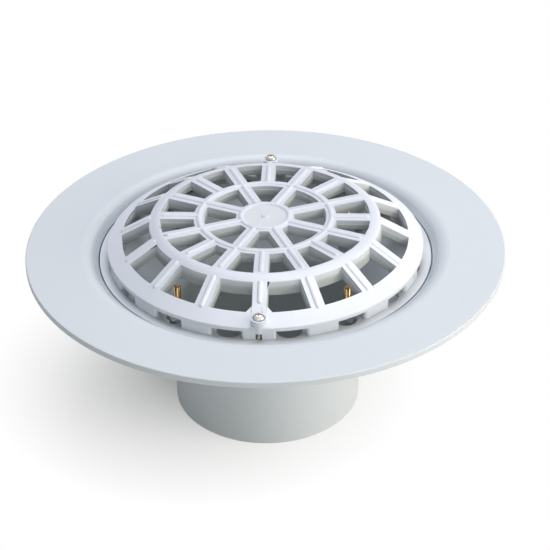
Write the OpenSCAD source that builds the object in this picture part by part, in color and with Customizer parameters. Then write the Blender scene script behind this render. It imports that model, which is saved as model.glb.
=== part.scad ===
// Flat roof drain: a flanged bowl with a pipe spigot, a bolted clamp ring and a domed strainer.
// Millimetres, +Z up. The origin is the middle of the spigot's lower end, on the drain's axis.
// The front strainer screw lies towards -Y.

/* [Flange and recess] */
// Diameter of the flange
flange_d = 400; // [360:5:480]
// Thickness of the flange
flange_t = 5; // [4:0.5:7]
// Height of the flange's top above the spigot's end
body_h = 152.5; // [140:0.5:220]
// Rounding of the flange's upper edge
flange_edge_r = 1; // [0.4:0.1:1.5]
// Width of the soft dip round the recess
dip_w = 10; // [6:0.5:14]
// Drop of the soft dip
dip_drop = 4.3; // [2:0.1:6]
// Inward run of the recess wall below the dip
recess_run = 5.2; // [3:0.1:8]
// Drop of the recess wall, from the dip to the top of the clamp ring
recess_drop = 4.5; // [3:0.1:8]
// Height of the small lip between the dip and the recess wall
recess_lip = 0.5; // [0.2:0.1:0.9]

/* [Bowl and spigot] */
// Wall thickness of the bowl
bowl_wall = 5; // [4:0.5:7]
// Fillet between the bowl's wall and the funnel
bowl_fillet = 7; // [3:0.5:10]
// Fillet between the funnel and the outlet
outlet_fillet = 9; // [4:0.5:12]
// Inner diameter of the bowl at its ledge
bowl_top_d = 259; // [254:1:260]
// Inner diameter of the bowl where its wall meets the funnel
bowl_floor_d = 198; // [190:1:204]
// Depth of that corner below the flange's top
bowl_depth = 40; // [36:0.5:52]
// Drop of the funnel from the corner to the outlet
funnel_drop = 20; // [14:0.5:30]
// Outer diameter of the spigot
spigot_d = 160; // [125:5:165]
// Wall thickness of the spigot
spigot_wall = 4.7; // [3:0.1:7]
// Chamfer at the spigot's lower end
spigot_chamfer = 2; // [1:0.5:3]

/* [Clamp ring] */
// Outer diameter of the clamp ring
ring_d = 278; // [277:0.2:282]
// Inner diameter of the clamp ring
ring_bore_d = 240; // [234:1:244]
// Thickness of the clamp ring
ring_t = 5; // [4:0.5:7]
// Radius of each drainage scallop in the ring's inner edge
scallop_r = 10.5; // [6:0.5:10.5]
// Width of each clamping tab
tab_w = 16; // [14:0.5:20]
// Reach of each tab inwards from the ring before it steps down to its stud
tab_reach = 9; // [8:0.5:11]
// Thickness of each clamping tab
tab_t = 4; // [3:0.5:6]
// Drop from the ring's top to the top of a tab
tab_drop = 13; // [10:0.1:15]
// Width of the gasket under the ring
gasket_w = 8; // [6:0.5:9]
// Thickness of the gasket
gasket_t = 2; // [1:0.5:4]

/* [Studs] */
// Radius of the circle that the studs stand on
stud_circle_r = 97; // [95:0.5:99]
// Thread diameter of the studs
stud_d = 6; // [5:0.5:8]
// Length of stud above a tab
stud_rise = 22.2; // [18:0.1:24]
// Depth of each stud in its pillar
stud_embed = 12; // [8:0.5:14]
// Diameter of the pillars that hold the studs
pillar_d = 15; // [13:0.5:17]
// Width across the flats of the nuts
nut_af = 10; // [9:0.5:13]
// Height of the nuts
nut_h = 5; // [4:0.5:7]
// Chamfer at the tip of a stud
stud_tip = 0.8; // [0.4:0.1:1]
// Diameter of the washers
washer_d = 12; // [11:0.5:15]
// Thickness of the washers
washer_t = 1.6; // [1:0.1:2.5]

/* [Strainer] */
// Height of the strainer's flat crown above the flange's top
crown_h = 25; // [20:0.5:34]
// Outer diameter of the strainer's rim
rim_d = 264; // [258:1:266]
// Height of the rim's upper edge above the flange's top
rim_h = 2.2; // [1:0.1:4]
// Width of the rim, seen from above
rim_w = 12.5; // [10:0.5:16]
// Height of the upright lip round the rim
lip_h = 3.4; // [2:0.1:5]
// Radius of the knee between the crown and the slope, at its centre line
knee_r = 90.8; // [89:0.2:93]
// Rounding of that knee
knee_round = 18; // [8:1:22]
// Number of outer spokes
spoke_count = 16; // [8,16]
// Width of every spoke
spoke_w = 11.6; // [9:0.2:13]
// Depth of the ribs below the strainer's surface
rib_depth = 8.5; // [7:0.5:10]
// Height of the narrow upper part of each rib
rib_step_h = 3.6; // [2:0.2:5]
// Width of the ledge on each side of a rib
rib_ledge = 0.3; // [0.2:0.1:1]
// Extra width of each rib's side at its foot
rib_draft = 0.5; // [0.2:0.1:0.8]
// Outer diameter of the hub
hub_d = 48.4; // [44:0.2:54]
// Diameter of the raised bead on the hub
hub_bead_d = 40.2; // [36:0.2:44]
// Inner diameter of the inner ring
inner_ring_d = 101.6; // [96:0.2:106]
// Width of the inner ring
inner_ring_w = 8.6; // [7:0.2:11]
// Inner diameter of the outer ring
outer_ring_d = 174.2; // [168:0.2:176]
// Width of the outer ring, seen from above
outer_ring_w = 9.3; // [8:0.1:11]
// Thickness of the hub's top and of the rim
shell_t = 3.8; // [3:0.1:5]
// Radius of the beads
bead_r = 2.4; // [1.6:0.1:2.6]
// Height that the beads stand proud
bead_h = 1.2; // [0.6:0.1:1.4]
// Distance of a bead's end from the ring ahead of it
bead_end_gap = 3; // [2:0.2:5]
// Angle that each foot of the skirt spans, in degrees
foot_angle = 11.9; // [8:0.1:14]
// Thickness of the skirt's feet
foot_t = 4.8; // [4:0.1:6]
// Inward step from the lip to the feet
foot_inset = 0.4; // [0.2:0.1:1]
// Diameter of the moulding nub in the middle of the hub
nub_d = 6.4; // [4:0.2:9]
// Height of that nub
nub_h = 0.8; // [0.4:0.1:1.2]

/* [Strainer screws] */
// Radius of the circle that the strainer screws stand on
screw_circle_r = 127.7; // [127:0.1:128.2]
// Thread diameter of the strainer screws
screw_d = 4.8; // [4:0.1:5]
// Length of the strainer screws under the head
screw_len = 21.3; // [19:0.1:21.8]
// Diameter of the screw heads
head_d = 9.5; // [8:0.1:10]
// Height of the screw heads
head_h = 4.2; // [3:0.1:4.6]
// Edge rounding of the screw heads
head_round = 2.6; // [1:0.1:2.8]
// Length of each arm-to-arm slot of the cross recess
cross_l = 5.3; // [4:0.1:6]
// Width of those slots
cross_w = 1.2; // [0.8:0.1:1.6]
// Depth of the cross recess
cross_depth = 2; // [1:0.1:2.2]
// Diameter of a boss at its top
boss_d = 13.6; // [13:0.1:15]
// Diameter of a boss at its foot
boss_foot_d = 9.6; // [8.6:0.1:11]
// Height of a boss
boss_h = 12.8; // [11:0.1:14]
// Height of a boss's top above the flange's top
boss_top = 9.4; // [8:0.1:10.5]
// Depth of the pocket for a screw head
head_pocket = 1; // [0.6:0.1:2]
// Gap round a head in its pocket
pocket_gap = 0.7; // [0.4:0.1:1]
// Distance from a screw's axis to the inner edge of its gusset
gusset_reach = 13.3; // [11:0.1:15]
// Outer diameter of the brass inserts for the screws
insert_d = 7; // [6.5:0.1:8]

/* [Clearances] */
// Gap round the clamp ring in its recess
seat_gap = 1; // [0.4:0.1:1.2]
// Gap round a screw in a clearance hole
hole_gap = 0.35; // [0.2:0.05:0.5]
// Gap round a thread in its mate
thread_gap = 0.1; // [0.05:0.05:0.15]

/* [Hidden] */

round_fn = 180;
small_fn = 48;
arc_steps = 8;
eps = 0.01;
over = 1;
// The nodes name four studs and two strainer screws
stud_count = 4;
screw_count = 2;

// Heights, from the spigot's end
flange_z = body_h;
ring_top = flange_z - dip_drop - recess_drop;
ring_bottom = ring_top - ring_t;
ledge_z = ring_bottom - gasket_t;
tab_top = ring_top - tab_drop;
tab_bottom = tab_top - tab_t;
corner_z = flange_z - bowl_depth;
outlet_z = corner_z - funnel_drop;
crown_z = flange_z + crown_h;
rim_z = flange_z + rim_h;
lip_z = rim_z - lip_h;
boss_z = flange_z + boss_top;
head_seat_z = boss_z - head_pocket;

// Radii of the body
flange_r = flange_d / 2;
seat_r = ring_d / 2 + seat_gap;
crease_r = seat_r + recess_run;
dip_r = crease_r + dip_w;
bowl_top_r = bowl_top_d / 2;
corner_r = bowl_floor_d / 2;
spigot_r = spigot_d / 2;
outlet_r = spigot_r - spigot_wall;
funnel_slope = funnel_drop / (corner_r - outlet_r);
funnel_skin = bowl_wall * sqrt(1 + pow(funnel_slope, 2));
bowl_skin_r = corner_r + bowl_wall;

// Radii and slope of the strainer
rim_r = rim_d / 2;
rim_in_r = rim_r - rim_w;
slope = atan((crown_h - rim_h) / (rim_r - knee_r));
knee_reach = knee_round * tan(slope / 2);
outer_ring_r = outer_ring_d / 2;
outer_ring_out_r = outer_ring_r + outer_ring_w;
inner_ring_r = inner_ring_d / 2;
inner_ring_mid_r = inner_ring_r + inner_ring_w / 2;
hub_r = hub_d / 2;
spoke_step = 360 / spoke_count;
foot_out_r = rim_r - foot_inset;
foot_mid_r = foot_out_r - foot_t / 2;
rib_foot_z = crown_z - rib_depth;
// The gussets lie this much under the slope, so they never share its surface
flush_sink = 0.1;
bead_sink = bead_r - bead_h;

// Height of the strainer's sloping surface at radius r
function slope_z(r) = crown_z - (r - knee_r) * tan(slope);

// Points of an arc: centre c, radius r, from angle a0 to a1
function arc(c, r, a0, a1) = [
    for (i = [0 : arc_steps])
        let (a = a0 + (a1 - a0) * i / arc_steps)
            c + r * [cos(a), sin(a)]
];

// Points that round corner q of the line p, q, s with radius r
function fillet(p, q, s, r) =
    let (
        u = (p - q) / norm(p - q),
        v = (s - q) / norm(s - q),
        half = acos(u * v) / 2,
        middle = q + (u + v) / norm(u + v) * r / sin(half),
        start = q + u * r / tan(half) - middle,
        end = q + v * r / tan(half) - middle,
        a0 = atan2(start[1], start[0]),
        turn = atan2(start[0] * end[1] - start[1] * end[0], start * end)
    )
    arc(middle, r, a0, a0 + turn);

// Turns to azimuth a, measured from the front, and moves out by r
module at_azimuth(a, r = 0) rotate(a - 90) translate([r, 0, 0]) children();

// Repeats round the axis, n times from azimuth a
module around(n, a = 0, r = 0) for (i = [0 : n - 1]) at_azimuth(a + i * 360 / n, r) children();

// Place of one strainer screw, counted from the front
module at_screw(i) at_azimuth(i * 360 / screw_count, screw_circle_r) children();

// Place of one stud, counted from the front right
module at_stud(i) at_azimuth((i + 0.5) * 360 / stud_count, stud_circle_r) children();

module at_studs() for (i = [0 : stud_count - 1]) at_stud(i) children();

module tube(r_out, r_in, z0, z1) {
    difference() {
        translate([0, 0, z0]) cylinder(r = r_out, h = z1 - z0, $fn = round_fn);
        translate([0, 0, z0 - over]) cylinder(r = r_in, h = z1 - z0 + 2 * over, $fn = round_fn);
    }
}

// ---- Body: flange, recess, bowl and spigot in one moulding ----

// The dip: an arc that leaves the flange's top level and steepens down to the crease
function dip(gap = 0) =
    let (r = (dip_w * dip_w + dip_drop * dip_drop) / (2 * dip_drop))
        arc([dip_r, flange_z - r], r - gap, 90 + 2 * atan(dip_drop / dip_w), 90);

// Outer surface of the moulding, from the flange's edge down to the spigot's end
function body_skin() =
    let (
        ledge = [bowl_top_r + bowl_wall, ledge_z - bowl_wall],
        corner = [bowl_skin_r, corner_z + bowl_wall * funnel_slope - funnel_skin],
        neck = [spigot_r, corner_z - (corner_r - spigot_r) * funnel_slope - funnel_skin],
        tip = [spigot_r, spigot_chamfer]
    )
    concat(
        arc([flange_r - flange_edge_r, flange_z - flange_edge_r], flange_edge_r, 90, 0),
        [[flange_r, flange_z - flange_t]],
        [for (i = [arc_steps : -1 : 0]) dip(flange_t)[i]],
        [[seat_r + bowl_wall, ring_top - recess_drop], [seat_r + bowl_wall, ledge_z - bowl_wall], ledge],
        fillet(ledge, corner, neck, bowl_fillet + bowl_wall),
        fillet(corner, neck, tip, outlet_fillet),
        [tip, [spigot_r - spigot_chamfer, 0]]
    );

// Inner surface of the moulding, from the spigot's end up to the flange's top
function body_hollow() =
    let (
        throat = [outlet_r, outlet_z],
        corner = [corner_r, corner_z],
        ledge = [bowl_top_r, ledge_z]
    )
    concat(
        [[outlet_r, 0]],
        fillet([outlet_r, 0], throat, corner, outlet_fillet),
        fillet(throat, corner, ledge, bowl_fillet),
        [ledge, [seat_r, ledge_z], [seat_r, ring_top]],
        [[crease_r - recess_lip, flange_z - dip_drop + recess_lip]],
        dip()
    );

module body_shell() rotate_extrude($fn = round_fn) polygon(concat(body_skin(), body_hollow()));

module body_envelope() rotate_extrude($fn = round_fn) polygon(concat(body_skin(), [[0, 0], [0, ledge_z]]));

module stud_pillars() intersection() {
    at_studs()
        translate([0, 0, outlet_z])
            cylinder(d = pillar_d, h = tab_bottom - outlet_z, $fn = small_fn);
    body_envelope();
}

module drain_body() color("lightsteelblue") difference() {
    union() {
        body_shell();
        stud_pillars();
    }
    at_studs()
        translate([0, 0, tab_bottom - stud_embed])
            cylinder(d = stud_d + 2 * thread_gap, h = stud_embed + over, $fn = small_fn);
}

// ---- Clamp ring and its gasket ----

module sealing_gasket() color("dimgray")
    tube(ring_d / 2, ring_d / 2 - gasket_w, ledge_z, ring_bottom);

// One arm that steps down from the ring to a flat tab round its stud
module clamp_tab() {
    ring_r = ring_bore_d / 2;
    knee = ring_r - tab_reach;
    foot_r = stud_circle_r + tab_w / 2 + over;
    rotate([90, 0, 0])
        linear_extrude(tab_w, center = true)
            polygon([
                [ring_r + over, ring_top],
                [knee, ring_top],
                [foot_r, tab_top],
                [stud_circle_r, tab_top],
                [stud_circle_r, tab_bottom],
                [foot_r + tab_t, tab_bottom],
                [knee + tab_t, ring_bottom],
                [ring_r + over, ring_bottom]
            ]);
    translate([stud_circle_r, 0, tab_bottom]) cylinder(d = tab_w, h = tab_t, $fn = small_fn);
}

module clamp_ring() color("gainsboro") difference() {
    union() {
        tube(ring_d / 2, ring_bore_d / 2, ring_bottom, ring_top);
        around(stud_count, 180 / stud_count) clamp_tab();
    }
    around(spoke_count, spoke_step / 2, ring_bore_d / 2)
        translate([0, 0, ring_bottom - over])
            cylinder(r = scallop_r, h = ring_t + 2 * over, $fn = small_fn);
    around(screw_count, 0, screw_circle_r)
        translate([0, 0, ring_bottom - over])
            cylinder(d = insert_d, h = ring_t + 2 * over, $fn = small_fn);
    at_studs()
        translate([0, 0, tab_bottom - over])
            cylinder(d = stud_d + 2 * hole_gap, h = tab_t + 2 * over, $fn = small_fn);
}

// ---- Strainer ----

// Half section of a rib of half width w: a narrow top, a ledge and a drafted foot
function rib_side(w, depth) = [
    [w, 0],
    [w, -rib_step_h],
    [w + rib_ledge, -rib_step_h],
    [w + rib_ledge + rib_draft, -depth]
];

function rib_section(w, depth) = concat(
    rib_side(w, depth),
    [for (i = [3 : -1 : 0]) [-rib_side(w, depth)[i][0], rib_side(w, depth)[i][1]]]
);

// A level spoke of the crown between two radii
module level_spoke(r0, r1)
    translate([r0, 0, crown_z])
        rotate([90, 0, 90])
            linear_extrude(r1 - r0) polygon(rib_section(spoke_w / 2, rib_depth));

// A spoke of the slope between two radii
module sloping_spoke(r0, r1)
    translate([r0, 0, slope_z(r0)])
        rotate([0, slope, 0])
            rotate([90, 0, 90])
                linear_extrude((r1 - r0) / cos(slope)) polygon(rib_section(spoke_w / 2, rib_depth));

// A round bead with round ends, along a line from radius r0 to r1, tilted down by a
module bead(r0, r1, z0, a = 0)
    translate([r0, 0, z0])
        rotate([0, a, 0])
            translate([0, 0, -bead_sink])
                rotate([0, 90, 0]) {
                    cylinder(r = bead_r, h = (r1 - r0) / cos(a), $fn = small_fn);
                    translate([0, 0, (r1 - r0) / cos(a)]) sphere(r = bead_r, $fn = small_fn);
                    sphere(r = bead_r, $fn = small_fn);
                }

module ring_bead(r)
    rotate_extrude($fn = round_fn) translate([r, crown_z - bead_sink]) circle(r = bead_r, $fn = small_fn);

module hub() {
    wall_r = hub_r - shell_t - rib_ledge;
    rotate_extrude($fn = round_fn)
        polygon([
            [0, crown_z], [hub_r, crown_z],
            [hub_r, crown_z - rib_step_h],
            [hub_r + rib_ledge, crown_z - rib_step_h],
            [hub_r + rib_ledge + rib_draft, rib_foot_z],
            [wall_r, rib_foot_z],
            [wall_r, crown_z - shell_t],
            [0, crown_z - shell_t]
        ]);
    ring_bead(hub_bead_d / 2);
    translate([0, 0, crown_z - over])
        cylinder(d1 = nub_d + 2 * over, d2 = nub_d - 2 * nub_h, h = nub_h + over, $fn = small_fn);
}

module inner_ring() {
    rotate_extrude($fn = round_fn)
        translate([inner_ring_mid_r, crown_z]) polygon(rib_section(inner_ring_w / 2, rib_depth));
    ring_bead(inner_ring_mid_r);
}

// The wide ring that carries the knee from the level crown to the slope
module outer_ring() {
    arc_c = [knee_r - knee_reach, crown_z - knee_round];
    rotate_extrude($fn = round_fn)
        polygon(concat(
            [[outer_ring_r - rib_ledge - rib_draft, rib_foot_z],
             [outer_ring_r - rib_ledge, crown_z - rib_step_h],
             [outer_ring_r, crown_z - rib_step_h],
             [outer_ring_r, crown_z]],
            [for (p = arc(arc_c, knee_round, 90, 90 - slope)) if (p[0] > outer_ring_r + eps) p],
            [[outer_ring_out_r, slope_z(outer_ring_out_r)],
             [outer_ring_out_r, slope_z(outer_ring_out_r) - rib_step_h],
             [outer_ring_out_r + rib_ledge, slope_z(outer_ring_out_r) - rib_step_h],
             [outer_ring_out_r + rib_ledge + rib_draft, slope_z(outer_ring_out_r) - rib_depth - rib_step_h]]
        ));
}

// Sloping rim with its upright lip and the wall round the openings
module rim() {
    skin = shell_t / cos(slope);
    wall = rim_in_r + shell_t;
    rotate_extrude($fn = round_fn)
        polygon([
            [rim_in_r, slope_z(rim_in_r)],
            [rim_r, rim_z],
            [rim_r, lip_z],
            [rim_r - shell_t, lip_z],
            [wall, slope_z(wall) - skin],
            [wall, slope_z(rim_in_r) - rib_depth],
            [rim_in_r - rib_ledge - rib_draft, slope_z(rim_in_r) - rib_depth],
            [rim_in_r - rib_ledge, slope_z(rim_in_r) - rib_step_h],
            [rim_in_r, slope_z(rim_in_r) - rib_step_h]
        ]);
}

// One foot of the skirt: an arc-shaped block with round ends
module foot() {
    half = foot_angle / 2 - asin(foot_t / 2 / foot_mid_r);
    top = slope_z(foot_out_r) - shell_t / 2;
    rotate([0, 0, -half])
        rotate_extrude(angle = 2 * half, $fn = round_fn)
            translate([foot_mid_r - foot_t / 2, ring_top]) square([foot_t, top - ring_top]);
    for (a = [-half, half])
        rotate(a)
            translate([foot_mid_r, 0, ring_top]) cylinder(d = foot_t, h = top - ring_top, $fn = small_fn);
}

// Chamfered plate that widens a spoke into the rim round a screw, cut from the slope's own cone
module gusset() {
    tip = screw_circle_r - gusset_reach - spoke_w / 2;
    inner = screw_circle_r - gusset_reach - over;
    outer = rim_in_r + shell_t / 2;
    wide = outer + over - tip;
    foot = slope_z(outer) - rib_depth;
    intersection() {
        rotate_extrude($fn = round_fn)
            polygon([
                [inner, slope_z(inner) - flush_sink],
                [outer, slope_z(outer) - flush_sink],
                [outer, slope_z(outer) - rib_depth],
                [inner, slope_z(inner) - rib_depth]
            ]);
        translate([0, 0, foot - over])
            linear_extrude(crown_z - foot)
                polygon([[tip, 0], [outer + over, -wide], [outer + over, wide]]);
    }
}

module boss()
    translate([screw_circle_r, 0, boss_z - boss_h])
        cylinder(d1 = boss_foot_d, d2 = boss_d, h = boss_h, $fn = small_fn);

// Clearance hole, head pocket and the open slot that shows the screw's shank
module boss_cut()
    translate([screw_circle_r, 0, 0]) {
        translate([0, 0, ring_top - over])
            cylinder(d = screw_d + 2 * hole_gap, h = boss_z - ring_top + 2 * over, $fn = small_fn);
        translate([0, 0, head_seat_z])
            cylinder(d = head_d + 2 * pocket_gap, h = head_h + over, $fn = small_fn);
        translate([0, -screw_d / 2, ring_top - over])
            cube([foot_t + over, screw_d, boss_z - boss_h - ring_top + over]);
    }

module dome_strainer() color("white") difference() {
    union() {
        hub();
        inner_ring();
        outer_ring();
        rim();
        around(spoke_count / 2, spoke_step) level_spoke(hub_r - shell_t, outer_ring_r + over);
        around(spoke_count / 2, 0) level_spoke(inner_ring_mid_r, outer_ring_r + over);
        around(spoke_count) sloping_spoke(outer_ring_out_r - over, rim_in_r + shell_t);
        around(spoke_count / 2, spoke_step)
            bead(hub_bead_d / 2, outer_ring_r - bead_end_gap, crown_z);
        around(spoke_count / 2, 0)
            bead(inner_ring_mid_r, outer_ring_r - bead_end_gap, crown_z);
        for (i = [0 : spoke_count - 1]) {
            screwed = i % (spoke_count / screw_count) == 0;
            r0 = outer_ring_out_r + bead_end_gap - bead_r;
            r1 = screwed ? screw_circle_r - gusset_reach - bead_end_gap : rim_in_r;
            at_azimuth(i * spoke_step) bead(r0, r1, slope_z(r0), slope);
        }
        around(spoke_count) foot();
        around(screw_count) gusset();
        around(screw_count) boss();
    }
    around(screw_count) boss_cut();
}

// ---- Fasteners ----

// Pan-head screw, standing on its head seat
module pan_screw() difference() {
    union() {
        rotate_extrude($fn = small_fn)
            polygon(concat(
                [[0, 0], [head_d / 2, 0]],
                arc([head_d / 2 - head_round, head_h - head_round], head_round, 0, 90),
                [[0, head_h]]
            ));
        translate([0, 0, -screw_len]) cylinder(d = screw_d, h = screw_len + eps, $fn = small_fn);
    }
    for (a = [45, 135])
        rotate(a)
            translate([-cross_l / 2, -cross_w / 2, head_h - cross_depth])
                cube([cross_l, cross_w, cross_depth + over]);
}

module strainer_screw(i) color("silver")
    at_screw(i) translate([0, 0, head_seat_z]) pan_screw();

module ring_insert(i) color("goldenrod")
    at_screw(i) difference() {
        translate([0, 0, ring_bottom]) cylinder(d = insert_d, h = ring_t, $fn = small_fn);
        translate([0, 0, ring_bottom - over])
            cylinder(d = screw_d + 2 * thread_gap, h = ring_t + 2 * over, $fn = small_fn);
    }

module clamp_stud(i) color("darkgoldenrod")
    at_stud(i) {
        foot = tab_bottom - stud_embed;
        length = stud_embed + tab_t + stud_rise - stud_tip;
        translate([0, 0, foot]) cylinder(d = stud_d, h = length, $fn = small_fn);
        translate([0, 0, foot + length])
            cylinder(d1 = stud_d, d2 = stud_d - 2 * stud_tip, h = stud_tip, $fn = small_fn);
    }

module stud_washer(i) color("silver")
    at_stud(i) difference() {
        translate([0, 0, tab_top]) cylinder(d = washer_d, h = washer_t, $fn = small_fn);
        translate([0, 0, tab_top - over])
            cylinder(d = stud_d + 2 * hole_gap, h = washer_t + 2 * over, $fn = small_fn);
    }

// Hexagon nut whose upper corners are cut by a 45-degree cone
module stud_nut(i) color("goldenrod")
    at_stud(i) translate([0, 0, tab_top + washer_t]) difference() {
        intersection() {
            cylinder(d = nut_af / cos(30), h = nut_h, $fn = 6);
            cylinder(r1 = nut_af / 2 + nut_h, r2 = nut_af / 2, h = nut_h, $fn = small_fn);
        }
        translate([0, 0, -over])
            cylinder(d = stud_d + 2 * thread_gap, h = nut_h + 2 * over, $fn = small_fn);
    }

drain_body();
sealing_gasket();
clamp_ring();
dome_strainer();
strainer_screw(0);  // strainer_screw_front
strainer_screw(1);  // strainer_screw_rear
ring_insert(0);  // ring_insert_front
ring_insert(1);  // ring_insert_rear
clamp_stud(0);  // clamp_stud_front_right
clamp_stud(1);  // clamp_stud_rear_right
clamp_stud(2);  // clamp_stud_rear_left
clamp_stud(3);  // clamp_stud_front_left
stud_washer(0);  // stud_washer_front_right
stud_washer(1);  // stud_washer_rear_right
stud_washer(2);  // stud_washer_rear_left
stud_washer(3);  // stud_washer_front_left
stud_nut(0);  // stud_nut_front_right
stud_nut(1);  // stud_nut_rear_right
stud_nut(2);  // stud_nut_rear_left
stud_nut(3);  // stud_nut_front_left
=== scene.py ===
"""Looks of a flat roof drain: the finish of every piece, cut threads and softened edges.

Lengths are metres in the CAD part's own frame: the origin is the middle of the spigot's lower
end, +Z is up, and the front strainer screw lies towards -Y.
"""

import logging
import math
from dataclasses import dataclass
from enum import Enum
from typing import Any, Sequence, Union

import bmesh
import bpy
from mathutils import Matrix, Vector

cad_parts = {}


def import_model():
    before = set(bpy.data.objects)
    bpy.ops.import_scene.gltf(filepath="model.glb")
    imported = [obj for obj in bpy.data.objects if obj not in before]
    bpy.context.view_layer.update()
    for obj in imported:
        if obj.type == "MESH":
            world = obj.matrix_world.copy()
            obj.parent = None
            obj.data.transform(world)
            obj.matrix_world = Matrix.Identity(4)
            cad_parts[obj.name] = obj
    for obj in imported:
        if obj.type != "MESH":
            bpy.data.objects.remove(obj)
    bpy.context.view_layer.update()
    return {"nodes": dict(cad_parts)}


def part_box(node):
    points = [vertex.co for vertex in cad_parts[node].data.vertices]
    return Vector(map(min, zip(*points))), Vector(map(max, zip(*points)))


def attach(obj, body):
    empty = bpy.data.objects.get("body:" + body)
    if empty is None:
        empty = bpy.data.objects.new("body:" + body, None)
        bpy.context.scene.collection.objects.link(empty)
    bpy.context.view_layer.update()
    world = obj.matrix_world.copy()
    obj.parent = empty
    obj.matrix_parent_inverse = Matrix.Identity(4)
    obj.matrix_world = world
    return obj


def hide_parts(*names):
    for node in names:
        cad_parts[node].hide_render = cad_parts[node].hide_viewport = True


log = logging.getLogger("roof_drain")

MM = 0.001
WHITE = (1.0, 1.0, 1.0, 1.0)
BODY = "root"
CORNERS = ("front_right", "rear_right", "rear_left", "front_left")
SIDES = ("front", "rear")

Colour = tuple[float, float, float]
Triple = tuple[float, float, float]
Number = Union[float, int]


# ---- Meshes ----


def keep_result(piece: bpy.types.Object, modifier: bpy.types.Modifier) -> None:
    """Makes a modifier's result the piece's own mesh and removes the modifier.

    Args:
        piece: The object.
        modifier: One of its modifiers.
    """
    evaluated = piece.evaluated_get(bpy.context.evaluated_depsgraph_get())
    made = bpy.data.meshes.new_from_object(evaluated)
    piece.modifiers.remove(modifier)
    piece.data = made


def shade_by_angle(mesh: bpy.types.Mesh, sharp_from: float = math.radians(50.0),
                   slight: float = 0.0) -> None:
    """Smooths a mesh's shading everywhere but over its sharp edges.

    Args:
        mesh: The mesh.
        sharp_from: Edges that turn by this much or more stay sharp.
        slight: Triangles lower than this, and strips half as wide, never have a sharp edge.
    """
    shape = bmesh.new()
    shape.from_mesh(mesh)
    narrow = set()
    for face in shape.faces:
        face.smooth = True
        longest = max(edge.calc_length() for edge in face.edges)
        if face.calc_area() < slight * longest / 2:
            narrow.add(face)
    for edge in shape.edges:
        soft = edge.calc_face_angle(0.0) < sharp_from or not narrow.isdisjoint(edge.link_faces)
        edge.smooth = len(edge.link_faces) == 2 and soft
    shape.to_mesh(mesh)
    shape.free()


# ---- Node trees ----

# A Mix node holds a set of sockets for each kind of data. These are the ones for colours.
MIX_SHARE = 0
MIX_START = 6
MIX_END = 7
MIX_RESULT = 2


def opaque(colour: Colour) -> tuple[float, float, float, float]:
    """A colour with full alpha."""
    return (*colour, 1.0)


class Field:
    """A socket that takes part in arithmetic: an expression on fields adds its Math nodes."""

    def __init__(self, graph: "NodeGraph", socket: bpy.types.NodeSocket) -> None:
        """Wraps one output socket.

        Args:
            graph: The graph that the socket's node belongs to.
            socket: The output socket.
        """
        self.graph = graph
        self.socket = socket

    def __add__(self, other: "Operand") -> "Field":
        """The sum of two values."""
        return self.graph.math("ADD", self, other)

    __radd__ = __add__

    def __sub__(self, other: "Operand") -> "Field":
        """This value less another."""
        return self.graph.math("SUBTRACT", self, other)

    def __rsub__(self, other: "Operand") -> "Field":
        """Another value less this one."""
        return self.graph.math("SUBTRACT", other, self)

    def __mul__(self, other: "Operand") -> "Field":
        """The product of two values."""
        return self.graph.math("MULTIPLY", self, other)

    __rmul__ = __mul__

    def __truediv__(self, other: "Operand") -> "Field":
        """This value divided by another."""
        return self.graph.math("DIVIDE", self, other)

    def __pow__(self, other: "Operand") -> "Field":
        """This value raised to a power."""
        return self.graph.math("POWER", self, other)

    def at_least(self, other: "Operand") -> "Field":
        """The larger of two values."""
        return self.graph.math("MAXIMUM", self, other)

    def above(self, limit: "Operand") -> "Field":
        """One where this value passes a limit, and nought elsewhere."""
        return self.graph.math("GREATER_THAN", self, limit)


Operand = Union[Field, Number]


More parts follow.
